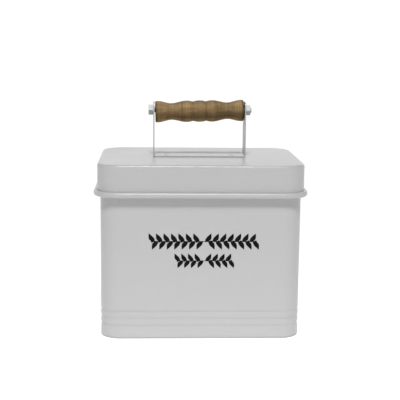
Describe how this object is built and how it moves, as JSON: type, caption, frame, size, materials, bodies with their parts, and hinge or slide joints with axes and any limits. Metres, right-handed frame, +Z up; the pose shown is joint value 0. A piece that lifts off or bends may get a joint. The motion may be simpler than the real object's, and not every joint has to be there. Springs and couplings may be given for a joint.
{
  "type": "lidded metal storage box",
  "caption": "Rounded rectangular enamelled steel storage box with a lift-off lid, a flat strap handle and a turned wooden grip.",
  "frame": {"origin": "centre of the box's footprint, on the surface it stands on", "axes": "+Z up, X along the box's length and the grip, -Y towards the front"},
  "size_m": [0.2132, 0.1632, 0.2338],
  "materials": {
    "enamel": "glossy white enamel",
    "zinc": "bright zinc plate",
    "wood": "turned, thinly oiled"
  },
  "bodies": {
    "box": {"box_wall": "enamel", "box_floor": "enamel"},
    "lid": {"lid_shell": "enamel", "handle_strap": "enamel", "grip_rod": "zinc", "rod_nut_left": "zinc", "rod_nut_right": "zinc"},
    "grip": {"wooden_grip": "wood"}
  },
  "joints": [
    {"name": "lid_lift", "type": "slide", "parent": "box", "child": "lid", "axis": [0, 0, 1], "range_m": [0, 0.08]},
    {"name": "grip_spin", "type": "hinge", "parent": "lid", "child": "grip", "pos_m": [0, 0, 0.22185], "axis": [0.9998, 0, 0.0218], "continuous": true}
  ]
}
